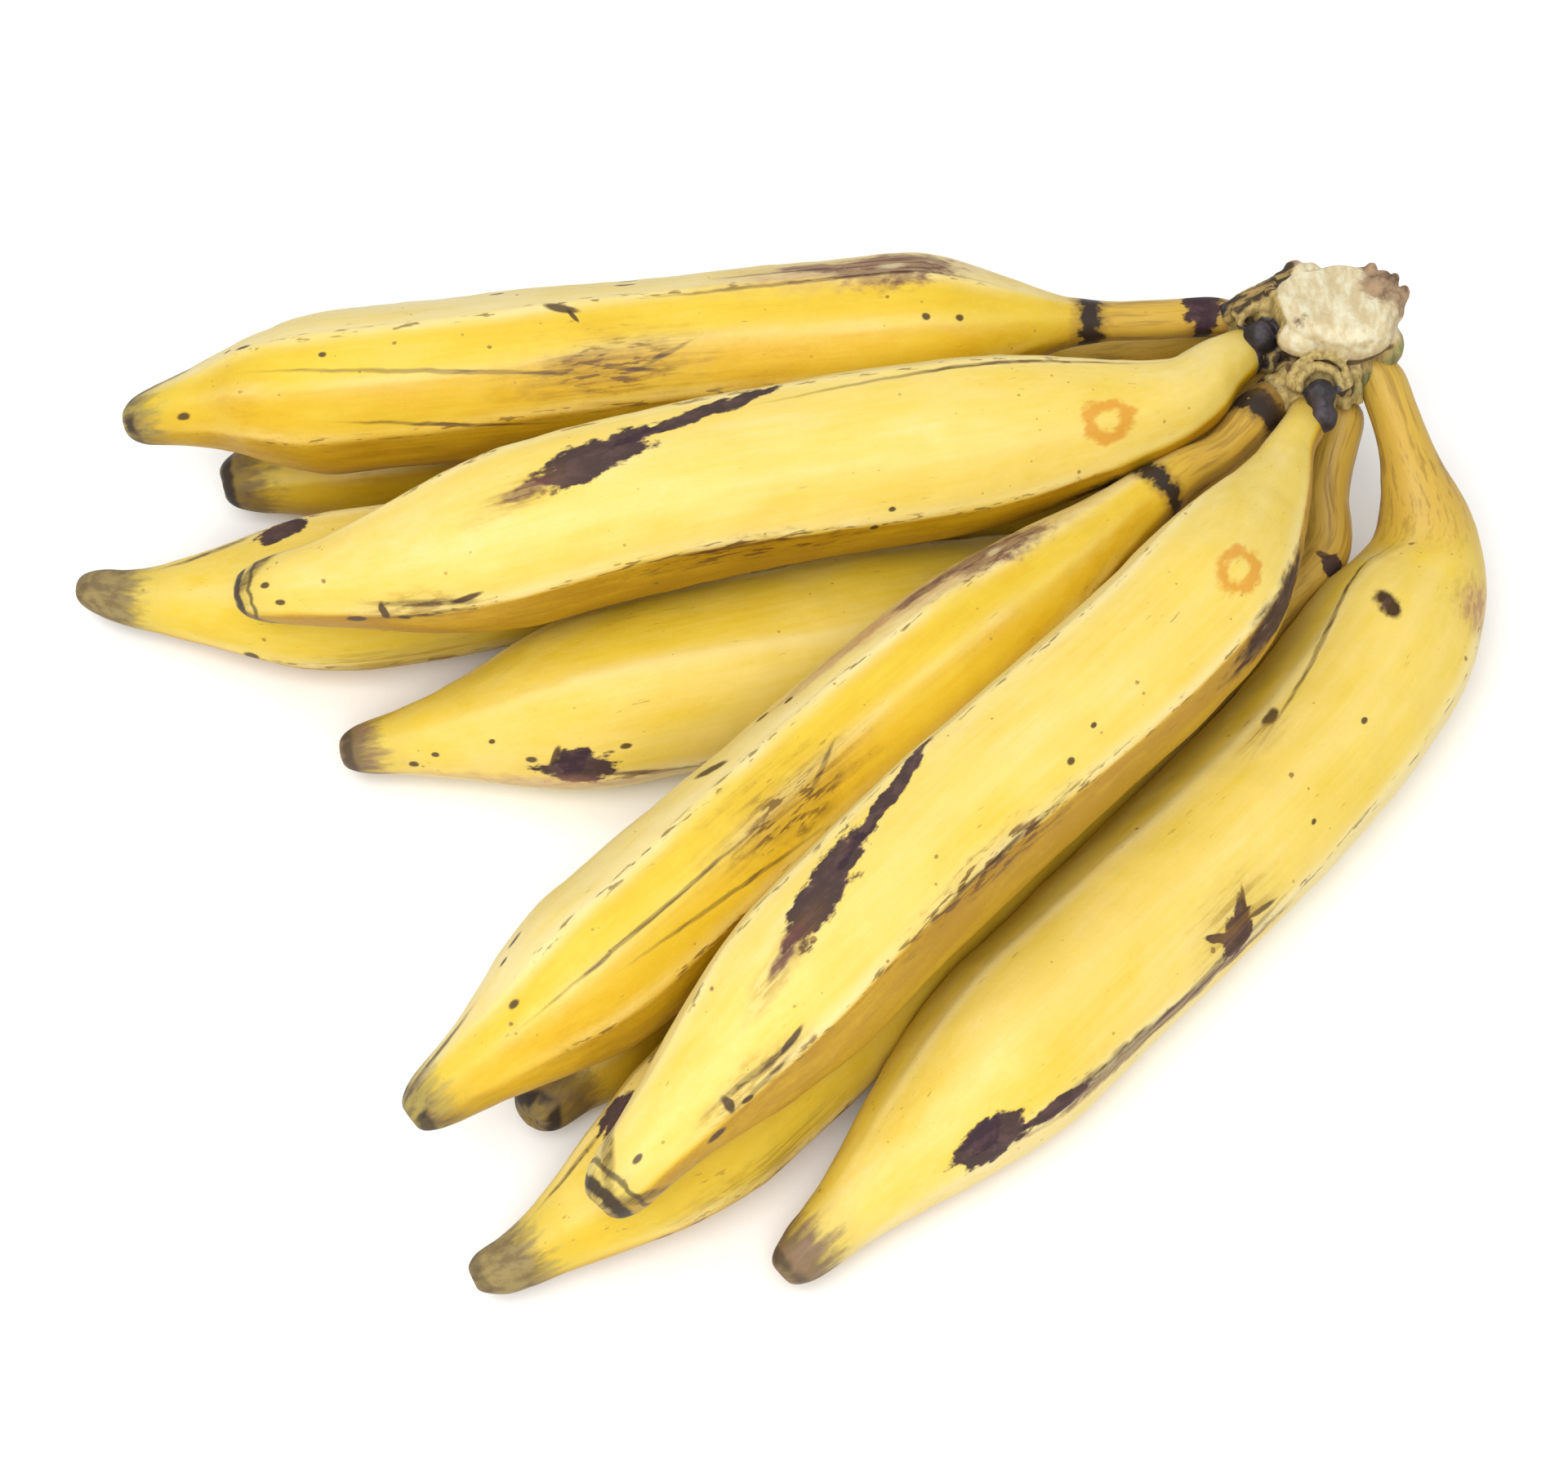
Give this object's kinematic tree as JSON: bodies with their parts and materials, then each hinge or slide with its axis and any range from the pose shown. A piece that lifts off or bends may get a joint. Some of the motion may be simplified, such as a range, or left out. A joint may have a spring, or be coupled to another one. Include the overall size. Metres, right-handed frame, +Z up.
{
  "type": "plantain hand",
  "caption": "Hand of ripe plantains: long, angular yellow fingers with dark blunt tips, fanned out from a pale cut crown and lying on a surface.",
  "frame": {"origin": "on the surface the hand lies on, under the middle of its bounding box", "axes": "+Z up, +X towards the crown's end along the longest side, +Y towards the rear side where the crown is"},
  "size_m": [0.3765, 0.3029, 0.0948],
  "materials": {
    "peel": "waxy ripe yellow peel with brown bruises, specks and dark tips",
    "crown_wood": "dry fibrous cut stem, pale on top and dark brown at its torn edges"
  },
  "bodies": {
    "root": {"crown": "crown_wood", "left_finger_1": "peel", "left_finger_2": "peel", "left_finger_3": "peel", "left_finger_4": "peel", "left_finger_5": "peel", "front_finger_1": "peel", "front_finger_2": "peel", "front_finger_3": "peel", "front_finger_4": "peel", "front_finger_5": "peel"}
  },
  "joints": []
}
